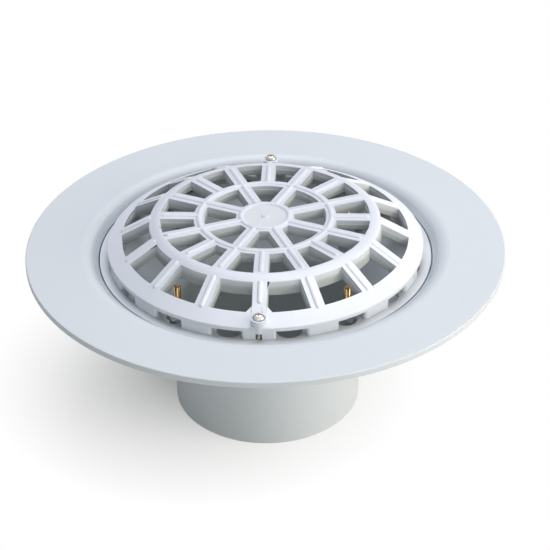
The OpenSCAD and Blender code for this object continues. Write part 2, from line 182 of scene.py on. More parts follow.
class NodeGraph:
    """A node tree of any kind, with one method that adds a node of any type."""

    def __init__(self, tree: bpy.types.NodeTree) -> None:
        """Empties a tree and works in it.

        Args:
            tree: The node tree of a material, a world or a geometry group.
        """
        tree.nodes.clear()
        self.tree = tree

    def node(self, kind: str, settings: dict[str, Any] | None = None,
             sockets: dict[Union[str, int], Any] | None = None) -> bpy.types.Node:
        """Adds one node.

        Args:
            kind: The node's type name.
            settings: The node's properties, set before its sockets.
            sockets: Values or links of its input sockets, by name or by number.

        Returns:
            The new node.
        """
        made = self.tree.nodes.new(kind)
        for name, value in (settings or {}).items():
            setattr(made, name, value)
        for key, value in (sockets or {}).items():
            self.feed(made.inputs[key], value)
        return made

    def field(self, kind: str, settings: dict[str, Any] | None = None,
              sockets: dict[Union[str, int], Any] | None = None,
              output: Union[str, int] = 0) -> Field:
        """Adds one node and returns one of its outputs as a field.

        Args:
            kind: The node's type name.
            settings: The node's properties.
            sockets: Values or links of its input sockets.
            output: The output socket, by name or by number.

        Returns:
            The chosen output.
        """
        return Field(self, self.node(kind, settings, sockets).outputs[output])

    def feed(self, socket: bpy.types.NodeSocket, value: Any) -> None:
        """Links a field to an input socket, or sets the socket to a plain value.

        Args:
            socket: The input socket.
            value: A field, a list of fields for a socket that takes several links, or a value.
        """
        if isinstance(value, Field):
            self.tree.links.new(value.socket, socket)
        elif isinstance(value, (list, tuple)) and value and isinstance(value[0], Field):
            for part in value:
                self.tree.links.new(part.socket, socket)
        else:
            socket.default_value = value

    def math(self, operation: str, left: Operand, right: Operand) -> Field:
        """Adds one Math node on two values."""
        return self.field("ShaderNodeMath", {"operation": operation}, {0: left, 1: right})

    def remap(self, value: Field, low: Number, high: Number) -> Field:
        """Nought up to a low limit, one from a high limit on, and smooth between the two."""
        return self.field("ShaderNodeMapRange", {"interpolation_type": "SMOOTHSTEP"}, {
            "Value": value, "From Min": low, "From Max": high, "To Min": 0.0, "To Max": 1.0})

    def below(self, value: Field, low: Number, high: Number) -> Field:
        """One up to a low limit, nought from a high limit on, and smooth between the two."""
        return 1.0 - self.remap(value, low, high)

    def blend(self, share: Operand, start: Union[Field, Colour], end: Colour) -> Field:
        """Mixes two colours.

        Args:
            share: How much of the end colour shows, from 0 to 1.
            start: A colour or a field.
            end: A colour.

        Returns:
            The mixed colour.
        """
        first = start if isinstance(start, Field) else opaque(start)
        return self.field("ShaderNodeMix", {"data_type": "RGBA"}, {
            MIX_SHARE: share, MIX_START: first, MIX_END: opaque(end)}, output=MIX_RESULT)

    def seen_plainly(self) -> Field:
        """Tells the rays that see or mirror a surface from those that light others by it.

        Returns:
            One for the first kind of ray and nought for the second.
        """
        rays = self.node("ShaderNodeLightPath")
        camera, glossy, clear = (Field(self, rays.outputs[name]) for name in (
            "Is Camera Ray", "Is Glossy Ray", "Is Transmission Ray"))
        return camera + glossy + clear


@dataclass(frozen=True)
class Pattern:
    """A noise on a piece: its lumps per metre and octaves, its stretch and where it starts."""

    scale: float
    detail: float = 3.0
    stretch: Triple = (1.0, 1.0, 1.0)
    offset: Triple = (0.0, 0.0, 0.0)


class SurfaceGraph(NodeGraph):
    """The shader of one material, on Object coordinates."""

    def __init__(self, name: str) -> None:
        """Makes a material and its empty shader.

        Args:
            name: The material's name.
        """
        self.material = bpy.data.materials.new(name)
        self.material.use_nodes = True
        super().__init__(self.material.node_tree)
        self.place = self.field("ShaderNodeTexCoord", output="Object")
        split = self.node("ShaderNodeSeparateXYZ", sockets={0: self.place})
        self.x, self.y, self.z = (Field(self, split.outputs[i]) for i in range(3))

    def noise(self, pattern: Pattern) -> Field:
        """Adds noise on the object's own coordinates.

        Args:
            pattern: The noise's sizes and place.

        Returns:
            The noise, between 0 and 1.
        """
        moved = self.field("ShaderNodeMapping", sockets={
            "Vector": self.place, "Scale": pattern.stretch, "Location": pattern.offset})
        return self.field("ShaderNodeTexNoise", {"noise_dimensions": "3D"}, {
            "Vector": moved, "Scale": pattern.scale, "Detail": pattern.detail, "Roughness": 0.5})

    def radius(self) -> Field:
        """Distance from the drain's axis."""
        return self.math("SQRT", self.x * self.x + self.y * self.y, 0.0)

    def bump(self, height: Field, depth: float, under: Field | None = None) -> Field:
        """A normal that follows a height.

        Args:
            height: The height, where 1 stands for the full depth.
            depth: The full depth, in metres.
            under: A normal that this one lies on.

        Returns:
            The new normal.
        """
        sockets: dict[str, Any] = {"Height": height, "Distance": depth, "Strength": 1.0}
        if under is not None:
            sockets["Normal"] = under
        return self.field("ShaderNodeBump", sockets=sockets)

    def close(self, **sockets: Any) -> bpy.types.Material:
        """Ends the shader in one Principled surface.

        Args:
            **sockets: The surface's sockets, with underscores for the spaces in their names.

        Returns:
            The finished material.
        """
        named = {key.replace("_", " "): value for key, value in sockets.items()}
        surface = self.field("ShaderNodeBsdfPrincipled", sockets=named)
        self.node("ShaderNodeOutputMaterial", sockets={"Surface": surface})
        return self.material


class GeometryGraph(NodeGraph):
    """A geometry group with named inputs, which grows one plain mesh."""

    ROD_SIDES = 28
    RIDGE_SIDES = 4
    TURN_BETWEEN_COPIES = 1.7

    def __init__(self, name: str) -> None:
        """Makes an empty group that takes geometry in and gives geometry out.

        Args:
            name: The group's name.
        """
        super().__init__(bpy.data.node_groups.new(name, "GeometryNodeTree"))
        self._identifiers: dict[str, str] = {}
        for direction in ("INPUT", "OUTPUT"):
            self.tree.interface.new_socket(
                "Geometry", in_out=direction, socket_type="NodeSocketGeometry")
        self.places = Field(self, self.node("NodeGroupInput").outputs["Geometry"])

    def knob(self, name: str, value: float) -> Field:
        """Adds one named number that the group takes in.

        Args:
            name: The input's name.
            value: Its value where none is given.

        Returns:
            The input as a field.
        """
        socket = self.tree.interface.new_socket(
            name, in_out="INPUT", socket_type="NodeSocketFloat")
        socket.default_value = value
        self._identifiers[name] = socket.identifier
        return Field(self, self.node("NodeGroupInput").outputs[name])

    def vector(self, x: Operand = 0.0, y: Operand = 0.0, z: Operand = 0.0) -> Field:
        """A vector of three values."""
        return self.field("ShaderNodeCombineXYZ", sockets={0: x, 1: y, 2: z})

    def moved(self, shape: Field, shift: Field, turn: Triple = (0.0, 0.0, 0.0)) -> Field:
        """A shape turned and then moved.

        Args:
            shape: The geometry.
            shift: How far it moves.
            turn: How far it turns round each axis, in radians.

        Returns:
            The moved geometry.
        """
        return self.field("GeometryNodeTransform", sockets={
            "Geometry": shape, "Translation": shift, "Rotation": turn})

    def joined(self, *shapes: Field) -> Field:
        """Several shapes as one."""
        return self.field("GeometryNodeJoinGeometry", sockets={"Geometry": list(shapes)})

    def reshaped(self, shape: Field, scale: Field) -> Field:
        """A shape whose points are scaled by a field about the group's own origin.

        Args:
            shape: The geometry.
            scale: A scale vector for each point.

        Returns:
            The reshaped geometry.
        """
        place = self.field("GeometryNodeInputPosition")
        scaled = self.field("ShaderNodeVectorMath", {"operation": "MULTIPLY"}, {0: place, 1: scale})
        return self.field("GeometryNodeSetPosition", sockets={
            "Geometry": shape, "Position": scaled})

    def height(self) -> Field:
        """Height of each point above the group's own origin."""
        place = self.field("GeometryNodeInputPosition")
        return self.field("ShaderNodeSeparateXYZ", sockets={0: place}, output=2)

    def thread(self, radius: Field, pitch: Field, length: Field, turns: Field) -> Field:
        """A threaded rod that stands on the group's origin: a spiral ridge on a core.

        Args:
            radius: Radius over the thread.
            pitch: Height of one turn.
            length: Length of the rod.
            turns: How often the thread goes round.

        Returns:
            The rod.
        """
        core_r = radius - pitch * 0.5
        spiral = self.field("GeometryNodeCurveSpiral", sockets={
            "Resolution": self.ROD_SIDES, "Rotations": turns, "Start Radius": core_r,
            "End Radius": core_r, "Height": length - pitch})
        upright = self.field("GeometryNodeSetCurveNormal", {"mode": "Z_UP"}, {"Curve": spiral})
        ridge = self.field("GeometryNodeCurvePrimitiveCircle", sockets={
            "Resolution": self.RIDGE_SIDES, "Radius": pitch * 0.5}, output="Curve")
        swept = self.field("GeometryNodeCurveToMesh", sockets={
            "Curve": upright, "Profile Curve": ridge, "Fill Caps": True})
        core = self.field("GeometryNodeMeshCylinder", sockets={
            "Vertices": self.ROD_SIDES, "Radius": core_r, "Depth": length})
        return self.joined(
            self.moved(swept, self.vector(z=pitch * 0.5)),
            self.moved(core, self.vector(z=length * 0.5)))

    def tapered(self, rod: Field, length: Field, tip: Field, share: float = 0.22) -> Field:
        """A rod whose upper end draws in.

        Args:
            rod: The rod, which stands on the group's origin.
            length: Its length.
            tip: Length of the end that draws in.
            share: How much narrower the very end is.

        Returns:
            The rod with its tip.
        """
        beyond = ((self.height() - length + tip) / tip).at_least(0.0)
        narrow = 1.0 - beyond * beyond * share
        return self.reshaped(rod, self.vector(narrow, narrow, 1.0))

    def set_out(self, shape: Field) -> Field:
        """Puts a copy of a shape at each of the group's places, each turned differently.

        Args:
            shape: The geometry.

        Returns:
            The copies.
        """
        turn = self.field("GeometryNodeInputIndex") * self.TURN_BETWEEN_COPIES
        return self.field("GeometryNodeInstanceOnPoints", sockets={
            "Points": self.places, "Instance": shape, "Rotation": self.vector(z=turn)})

    def grow(self, name: str, shape: Field, material: bpy.types.Material,
             places: Sequence[Vector], values: dict[str, float]) -> bpy.types.Object:
        """Ends the group and makes its plain mesh.

        Args:
            name: The new object's name.
            shape: The finished geometry.
            material: Its material.
            places: Where the shape is set out.
            values: The group's named inputs.

        Returns:
            The finished object, which has no modifier.
        """
        real = self.field("GeometryNodeRealizeInstances", sockets={"Geometry": shape})
        dressed = self.field("GeometryNodeSetMaterial", sockets={
            "Geometry": real, "Material": material})
        self.node("NodeGroupOutput", sockets={"Geometry": dressed})
        seed = bpy.data.meshes.new(name + "_places")
        seed.from_pydata([tuple(place) for place in places], [], [])
        piece = bpy.data.objects.new(name, seed)
        bpy.context.scene.collection.objects.link(piece)
        modifier = piece.modifiers.new("grow", "NODES")
        modifier.node_group = self.tree
        for key, value in values.items():
            modifier[self._identifiers[key]] = value
        keep_result(piece, modifier)
        piece.data.name = name
        shade_by_angle(piece.data)
        return piece


# ---- Softened mouldings ----


@dataclass(frozen=True)
class Softener:
    """Copies a moulding and rounds its edges as far as the edges round them leave room."""

    width: float
    steps: int = 2
    sharp_from: float = math.radians(28.0)
    flat_within: float = math.radians(0.08)
    weld: float = 0.05 * MM
    room: float = 0.42
    slight: float = 0.3 * MM
    most_corners: int = 4
    face_pull: int = 60

    def copy(self, solid: bpy.types.Object, name: str) -> bpy.types.Object:
        """Makes the softened copy of a CAD node and lets it stand for the node.

        Args:
            solid: The CAD node's object.
            name: The new object's name.

        Returns:
            The softened copy.
        """
        mesh = bpy.data.meshes.new(name)
        shape = bmesh.new()
        shape.from_mesh(solid.data)
        bmesh.ops.remove_doubles(shape, verts=shape.verts, dist=self.weld)
        bmesh.ops.dissolve_degenerate(shape, edges=shape.edges, dist=self.weld)
        bmesh.ops.dissolve_limit(
            shape, angle_limit=self.flat_within, verts=shape.verts, edges=shape.edges)
        wide = [face for face in shape.faces if len(face.verts) > self.most_corners]
        bmesh.ops.triangulate(shape, faces=wide)
        bmesh.ops.dissolve_degenerate(shape, edges=shape.edges, dist=self.weld)
        self._weigh(shape)
        shape.to_mesh(mesh)
        shape.free()
        piece = bpy.data.objects.new(name, mesh)
        bpy.context.scene.collection.objects.link(piece)
        self._apply(piece, "BEVEL", {
            "limit_method": "WEIGHT", "width": self.width, "segments": self.steps,
            "use_clamp_overlap": False, "miter_outer": "MITER_SHARP"})
        shade_by_angle(piece.data, slight=self.slight)
        self._apply(piece, "WEIGHTED_NORMAL", {"keep_sharp": True, "weight": self.face_pull})
        piece.data.name = name
        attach(piece, BODY)
        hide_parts(solid.name)
        return piece

    @staticmethod
    def _apply(piece: bpy.types.Object, kind: str, settings: dict[str, Any]) -> None:
        """Gives a piece one modifier and makes its result the piece's own mesh.

        Args:
            piece: The object.
            kind: The modifier's type.
            settings: The modifier's properties.
        """
        modifier = piece.modifiers.new(kind.lower(), kind)
        for key, value in settings.items():
            setattr(modifier, key, value)
        keep_result(piece, modifier)

    def _weigh(self, shape: bmesh.types.BMesh) -> None:
        """Gives each sharp edge a bevel weight that its shortest neighbour leaves room for.

        Args:
            shape: The mesh, which gets a weight on each of its edges.
        """
        layer = shape.edges.layers.float.new("bevel_weight_edge")
        reach = {}
        for corner in shape.verts:
            turning = [edge.calc_length() for edge in corner.link_edges
                       if edge.calc_face_angle(0.0) > self.flat_within]
            reach[corner] = min(turning, default=0.0)
        for edge in shape.edges:
            if len(edge.link_faces) == 2 and edge.calc_face_angle(0.0) > self.sharp_from:
                space = min(reach[edge.verts[0]], reach[edge.verts[1]])
                edge[layer] = min(1.0, space * self.room / self.width)


# ---- Finishes ----


@dataclass(frozen=True)
class MouldedPlastic:
    """Moulded rigid plastic: soft tone drift, flow streaks, fine grain and handling scuffs."""

    CLOUD = Pattern(14.0)
    MOTTLE = Pattern(120.0, 4.0, offset=(3.1, 1.7, 0.4))
    FINE = Pattern(2600.0, 2.0, offset=(0.6, 2.3, 1.1))
    WAVES = Pattern(55.0, 2.0, offset=(1.9, 0.2, 2.7))
    STREAKS = Pattern(90.0, 4.0, stretch=(1.0, 0.05, 1.0), offset=(5.2, 0.3, 0.9))
    SCUFFS_ALONG = Pattern(26.0, 1.0, stretch=(1.0, 28.0, 1.0), offset=(7.7, 0.0, 4.0))
    SCUFFS_ACROSS = Pattern(31.0, 1.0, stretch=(26.0, 1.0, 1.0), offset=(0.0, 6.1, 2.0))
    SCUFFED = Pattern(22.0, 1.0, offset=(9.3, 3.3, 0.0))
    ALONG_BAND = (0.735, 0.76)
    ACROSS_BAND = (0.745, 0.77)
    SCUFFED_BAND = (0.52, 0.62)
    INDEX = 1.5

    name: str
    colour: Colour
    deep_colour: Colour
    roughness: float = 0.42
    drift: float = 0.03
    grain: float = 0.012 * MM
    sink: float = 0.05 * MM
    scuffs: float = 0.5
    scuff_tone: float = 0.82
    scuff_share: float = 0.35
    scuff_roughness: float = 0.15
    mottle_roughness: float = 0.10
    streak_roughness: float = 0.08

    def surface(self) -> tuple[SurfaceGraph, Field, Field, Field]:
        """Builds the shared layers of the plastic.

        Returns:
            The graph, and its colour, roughness and normal.
        """
        graph = SurfaceGraph(self.name)
        mottle = graph.noise(self.MOTTLE) - 0.5
        tone = (graph.noise(self.CLOUD) - 0.5) * self.drift * 2.0 + mottle * self.drift
        share = graph.remap(tone, -self.drift, self.drift)
        colour = graph.blend(share, self.deep_colour, self.colour)
        scratch = self._scratches(graph)
        red, green, blue = (self.scuff_tone * part for part in self.colour)
        colour = graph.blend(scratch * self.scuff_share, colour, (red, green, blue))
        streaks = (graph.noise(self.STREAKS) - 0.5) * self.streak_roughness
        rough = self.roughness + mottle * self.mottle_roughness + streaks
        rough = rough + scratch * self.scuff_roughness
        low = graph.bump(graph.noise(self.WAVES), self.sink)
        normal = graph.bump(graph.noise(self.FINE), self.grain, under=low)
        return graph, colour, rough, normal

    def _scratches(self, graph: SurfaceGraph) -> Field:
        """Sparse hairline scuffs, each a short thin line.

        Args:
            graph: The graph to add them to.

        Returns:
            A mask of the scuffs.
        """
        lines = graph.remap(graph.noise(self.SCUFFS_ALONG), *self.ALONG_BAND) \
            + graph.remap(graph.noise(self.SCUFFS_ACROSS), *self.ACROSS_BAND)
        return lines * graph.remap(graph.noise(self.SCUFFED), *self.SCUFFED_BAND) * self.scuffs

    def material(self) -> bpy.types.Material:
        """The plain plastic."""
        graph, colour, rough, normal = self.surface()
        return graph.close(Base_Color=colour, Roughness=rough, Normal=normal, IOR=self.INDEX)


@dataclass(frozen=True)
class BodyPlastic(MouldedPlastic):
    """The body's plastic, with patchy painted shade inside the bowl and painted shade along the
    recess and its crease.
    """

    # Noise that makes the bowl's painted shade patchy.
    MARKS = Pattern(38.0, 4.0, stretch=(1.0, 1.0, 0.35), offset=(6.0, 2.0, 5.0))

    # Where the bowl's painted shade lies: inside the outlet and the bowl, below the bowl's top.
    outlet_radius: float = 75.3 * MM
    outlet_height: float = 92.5 * MM
    bowl_flare: float = 1.2
    bowl_top: float = 138.0 * MM
    bowl_fade: float = 3.0 * MM
    wall_from: float = 1.5 * MM
    wall_to: float = 3.5 * MM
    # Strength and patchiness of the bowl's painted shade, the roughness added with it, and its
    # colour.
    bowl_shade_least: float = 0.72
    bowl_shade_spread: float = 0.5
    bowl_shade_roughness: float = 0.08
    bowl_shade_colour: Colour = (0.50, 0.54, 0.545)
    # Painted shade along the recess, and a thin painted dark line on its crease.
    crease_radius: float = 145.2 * MM
    crease_width: float = 0.45 * MM
    crease_share: float = 0.9
    recess_from: float = -0.6 * MM
    recess_to: float = 1.2 * MM
    recess_share: float = 0.55
    recess_shade_colour: Colour = (0.42, 0.46, 0.49)

    def material(self) -> bpy.types.Material:
        """Lays the painted shade of the bowl and of the recess on the plastic.

        Returns:
            The body's material.
        """
        graph, colour, rough, normal = self.surface()
        # Painted shade: the bowl and the outlet are darkened in patches, then the recess and its
        # crease.
        bowl_shade = self._bowl_shade(graph)
        colour = graph.blend(bowl_shade, colour, self.bowl_shade_colour)
        colour = graph.blend(self._recess_shade(graph), colour, self.recess_shade_colour)
        return graph.close(
            Base_Color=colour, Roughness=rough + bowl_shade * self.bowl_shade_roughness, Normal=normal,
            IOR=self.INDEX)

    def _bowl_shade(self, graph: SurfaceGraph) -> Field:
        """Paints patchy shade over the inside of the bowl and of the outlet.

        Args:
            graph: The graph that it is built in.

        Returns:
            The share of the painted shade.
        """
        rise = (graph.z - self.outlet_height).at_least(0.0)
        outward = graph.radius() - rise * self.bowl_flare - self.outlet_radius
        inside = graph.below(outward, self.wall_from, self.wall_to)
        low = graph.below(graph.z, self.bowl_top, self.bowl_top + self.bowl_fade)
        return inside * low * (self.bowl_shade_least + graph.noise(self.MARKS) * self.bowl_shade_spread)

    def _recess_shade(self, graph: SurfaceGraph) -> Field:
        """Paints a faint shade over the recess and a thin line of darker painted shade on its
        crease.

        Args:
            graph: The graph that it is built in.

        Returns:
            The share of the painted shade.
        """
        beyond = graph.radius() - self.crease_radius
        recess = graph.below(beyond, self.recess_from, self.recess_to)
        # A thin line of painted shade on the crease.
        off_line = beyond / self.crease_width
        line = graph.math("EXPONENT", 0.0 - off_line * off_line, 0.0)
        upper = graph.z.above(self.bowl_top + self.bowl_fade)
        return (recess * self.recess_share).at_least(line * self.crease_share) * upper


@dataclass(frozen=True)
class StrainerPlastic(MouldedPlastic):
    """The strainer's plastic: smeared on its crown, painted shade and more roughness down the ribs'
    sides, dull on the hub.
    """

    SMEARS = Pattern(34.0, 4.0, offset=(8.0, 4.0, 3.0))
    BRUSHED = Pattern(420.0, 3.0, stretch=(1.0, 0.12, 1.0), offset=(2.0, 8.0, 1.0))

    crown_height: float = 0.1787
    bead_rise: float = 1.2 * MM
    knee_radius: float = 90.8 * MM
    fall: float = 0.5534
    rim_radius: float = 119.5 * MM
    rim_fade: float = 1.0 * MM
    smear_from: float = 1.0 * MM
    smear_to: float = 7.0 * MM
    smear_least: float = 0.45
    smear_spread: float = 0.8
    smear_colour: Colour = (0.615, 0.63, 0.67)
    # Painted shade down the ribs' sides, and the roughness added there.
    side_from: float = 0.8 * MM
    side_to: float = 7.5 * MM
    side_roughness: float = 0.1
    rib_shade_colour: Colour = (0.47, 0.49, 0.475)
    hub_radius: float = 18.0 * MM
    hub_fade: float = 2.5 * MM
    hub_least: float = 0.45
    hub_spread: float = 0.6
    hub_roughness: float = 0.15
    hub_colour: Colour = (0.63, 0.64, 0.64)

    def material(self) -> bpy.types.Material:
        """Smears the plastic on the crown, paints shade down the ribs' sides and roughens them, and
        dulls the hub.

        Returns:
            The strainer's material.
        """
        graph, colour, rough, normal = self.surface()
        radius = graph.radius()
        crown = graph.below(
            radius, self.knee_radius + self.smear_from, self.knee_radius + self.smear_to)
        smeared = crown * (self.smear_least + graph.noise(self.SMEARS) * self.smear_spread)
        colour = graph.blend(smeared, colour, self.smear_colour)
        # Painted shade on the ribs' sides, darker deeper down; the same share adds roughness.
        side = self._rib_shade(graph, radius)
        colour = graph.blend(side, colour, self.rib_shade_colour)
        hub = graph.below(radius, self.hub_radius - self.hub_fade, self.hub_radius)
        dull = hub * (1.0 - side) * (self.hub_least + graph.noise(self.BRUSHED) * self.hub_spread)
        colour = graph.blend(dull, colour, self.hub_colour)
        rough = rough + dull * self.hub_roughness + side * self.side_roughness
        return graph.close(Base_Color=colour, Roughness=rough, Normal=normal, IOR=self.INDEX)

    def _rib_shade(self, graph: SurfaceGraph, radius: Field) -> Field:
        """Paints shade on the ribs' sides, darker further below the strainer's surface.

        Args:
            graph: The graph that it is built in.
            radius: Distance from the drain's axis.

        Returns:
            The share of the painted shade and of the added roughness, which is nought on the rim.
        """
        surface = self.crown_height - self.bead_rise
        depth = surface - graph.z - (radius - self.knee_radius).at_least(0.0) * self.fall
        within = graph.below(
            radius, self.rim_radius - self.rim_fade, self.rim_radius + self.rim_fade)
        return graph.remap(depth, self.side_from, self.side_to) * within


@dataclass(frozen=True)
class BareMetal:
    """Turned or rolled metal: fine tool marks, tarnish in patches and a changing gloss."""

    MARKS = Pattern(1500.0, 3.0, stretch=(0.2, 0.2, 6.0))
    PATCHES = Pattern(320.0, 4.0, offset=(4.0, 1.0, 7.0))
    PATCH_BAND = (0.42, 0.68)

    name: str
    colour: Colour
    tarnish: Colour
    roughness: float
    tarnish_share: float = 0.5
    tarnish_roughness: float = 0.22
    mark_roughness: float = 0.16
    mark_depth: float = 0.01 * MM

    def material(self) -> bpy.types.Material:
        """Lays tool marks and tarnish on the metal.

        Returns:
            The metal's material.
        """
        graph = SurfaceGraph(self.name)
        marks = graph.noise(self.MARKS)
        share = graph.remap(graph.noise(self.PATCHES), *self.PATCH_BAND) * self.tarnish_share
        colour = graph.blend(share, self.colour, self.tarnish)
        rough = self.roughness + (marks - 0.5) * self.mark_roughness
        rough = rough + share * self.tarnish_roughness
        normal = graph.bump(marks, self.mark_depth)
        return graph.close(Base_Color=colour, Roughness=rough, Normal=normal, Metallic=1.0)


@dataclass(frozen=True)
class SealRubber:
    """Black sealing rubber with bloom and a fine cloth-like press texture."""

    HAZE = Pattern(70.0, 4.0)
    PRESS = Pattern(1800.0, 2.0, offset=(1.0, 2.0, 3.0))
    HAZE_BAND = (0.4, 0.75)

    name: str
    colour: Colour = (0.022, 0.022, 0.024)
    bloom: Colour = (0.075, 0.075, 0.078)
    roughness: float = 0.72
    haze_roughness: float = 0.2
    press_depth: float = 0.03 * MM

    def material(self) -> bpy.types.Material:
        """Lays bloom and the press texture on the rubber.

        Returns:
            The rubber's material.
        """
        graph = SurfaceGraph(self.name)
        haze = graph.noise(self.HAZE)
        colour = graph.blend(graph.remap(haze, *self.HAZE_BAND), self.colour, self.bloom)
        rough = self.roughness + (haze - 0.5) * self.haze_roughness
        normal = graph.bump(graph.noise(self.PRESS), self.press_depth)
        return graph.close(Base_Color=colour, Roughness=rough, Normal=normal)


class Finish(Enum):
    """The part's finishes. All but the plating are named after the record's material slots."""

    BODY = "pvc_body"
    RING = "pvc_ring"
    STRAINER = "strainer_plastic"
    SEAL = "epdm"
    STEEL = "stainless"
    BRASS = "brass"
    PLATED = "plated_brass"


class Finishes:
    """Makes each finish once and gives it to the pieces."""

    def __init__(self, crown_height: float) -> None:
        """Builds every finish.

        Args:
            crown_height: Height of the strainer's crown.
        """
        self._made = {
            Finish.BODY: BodyPlastic(
                "body_plastic", (0.62, 0.645, 0.66), (0.605, 0.635, 0.65)).material(),
            Finish.RING: MouldedPlastic(
                "ring_plastic", (0.63, 0.645, 0.66), (0.615, 0.63, 0.65)).material(),
            Finish.STRAINER: StrainerPlastic(
                "strainer_plastic", (0.735, 0.75, 0.78), (0.72, 0.735, 0.77),
                roughness=0.36, crown_height=crown_height).material(),
            Finish.SEAL: SealRubber("seal_rubber").material(),
            Finish.STEEL: BareMetal(
                "screw_steel", (0.47, 0.46, 0.42), (0.22, 0.205, 0.17), roughness=0.36).material(),
            Finish.BRASS: BareMetal(
                "stud_brass", (0.74, 0.50, 0.26), (0.30, 0.16, 0.06), roughness=0.16,
                tarnish_share=0.7).material(),
            Finish.PLATED: BareMetal(
                "plated_brass", (0.74, 0.74, 0.72), (0.50, 0.48, 0.42), roughness=0.25).material(),
        }

    def give(self, piece: bpy.types.Object, finish: Finish) -> None:
        """Puts one finish on a piece."""
        piece.data.materials.clear()
        piece.data.materials.append(self._made[finish])

    def dress(self, piece: bpy.types.Object, finish: Finish) -> None:
        """Puts one finish on a new piece."""
        self.give(piece, finish)

    def material(self, finish: Finish) -> bpy.types.Material:
        """The material of one finish."""
        return self._made[finish]


# ---- Sub-assemblies ----


def foot_of(box: Sequence[Vector]) -> Vector:
    """The middle of a box's lower face, where an upright piece stands."""
    low, high = box
    return Vector(((low.x + high.x) / 2, (low.y + high.y) / 2, low.z))


@dataclass
class DrainBody:
    """The flange, bowl and spigot moulding."""

    node: str = "drain_body"
    softener: Softener = Softener(width=0.35 * MM)

    def build(self, nodes: dict[str, bpy.types.Object], finishes: Finishes) -> None:
        """Softens and dresses the moulding.

        Args:
            nodes: The CAD nodes by name.
            finishes: The part's finishes.
        """
        piece = self.softener.copy(nodes[self.node], "soft_body")
        finishes.dress(piece, Finish.BODY)
        log.info("%s dressed", self.node)


@dataclass
class ClampSet:
    """The clamp ring with its seal and its two screw inserts."""

    ring: str = "clamp_ring"
    seal: str = "sealing_gasket"
    insert: str = "ring_insert_"
    softener: Softener = Softener(width=0.5 * MM, steps=3)

    def build(self, nodes: dict[str, bpy.types.Object], finishes: Finishes) -> None:
        """Softens the ring and dresses it, the seal and the inserts.

        Args:
            nodes: The CAD nodes by name.
            finishes: The part's finishes.
        """
        finishes.dress(self.softener.copy(nodes[self.ring], "soft_ring"), Finish.RING)
        finishes.give(nodes[self.seal], Finish.SEAL)
        for side in SIDES:
            finishes.give(nodes[self.insert + side], Finish.PLATED)
        log.info("clamp ring, seal and inserts dressed")


@dataclass
class DomeStrainer:
    """The ribbed strainer moulding."""

    node: str = "dome_strainer"
    softener: Softener = Softener(width=0.45 * MM, weld=0.2 * MM)

    def build(self, nodes: dict[str, bpy.types.Object], finishes: Finishes) -> None:
        """Softens and dresses the strainer.

        Args:
            nodes: The CAD nodes by name.
            finishes: The part's finishes.
        """
        piece = self.softener.copy(nodes[self.node], "soft_strainer")
        finishes.dress(piece, Finish.STRAINER)
        log.info("%s dressed with %d faces", self.node, len(piece.data.polygons))


@dataclass
class StudSet:
    """The four clamp studs with their cut threads, and their washers and nuts."""

    node: str = "clamp_stud_"
    pitch: float = 1.0 * MM
    tip: float = 1.1 * MM

    def build(self, nodes: dict[str, bpy.types.Object], finishes: Finishes) -> None:
        """Grows the threaded studs and dresses the washers and nuts.

        Args:
            nodes: The CAD nodes by name.
            finishes: The part's finishes.
        """
        boxes = [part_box(self.node + corner) for corner in CORNERS]
        low, high = boxes[0]
        length = high.z - low.z
        graph = GeometryGraph("threaded_studs")
        radius = graph.knob("Radius", (high.x - low.x) / 2)
        pitch = graph.knob("Pitch", self.pitch)
        full = graph.knob("Length", length)
        turns = graph.knob("Turns", 1.0)
        tip = graph.knob("Tip", self.tip)
        rod = graph.tapered(graph.thread(radius, pitch, full, turns), full, tip)
        piece = graph.grow(
            "clamp_studs", graph.set_out(rod), finishes.material(Finish.BRASS),
            [foot_of(box) for box in boxes],
            {"Radius": (high.x - low.x) / 2, "Length": length, "Pitch": self.pitch,
             "Turns": (length - self.pitch) / self.pitch, "Tip": self.tip})
        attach(piece, BODY)
        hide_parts(*(self.node + corner for corner in CORNERS))
        for corner in CORNERS:
            finishes.give(nodes["stud_nut_" + corner], Finish.BRASS)
            finishes.give(nodes["stud_washer_" + corner], Finish.STEEL)
        log.info("studs grown with %d faces, washers and nuts dressed", len(piece.data.polygons))


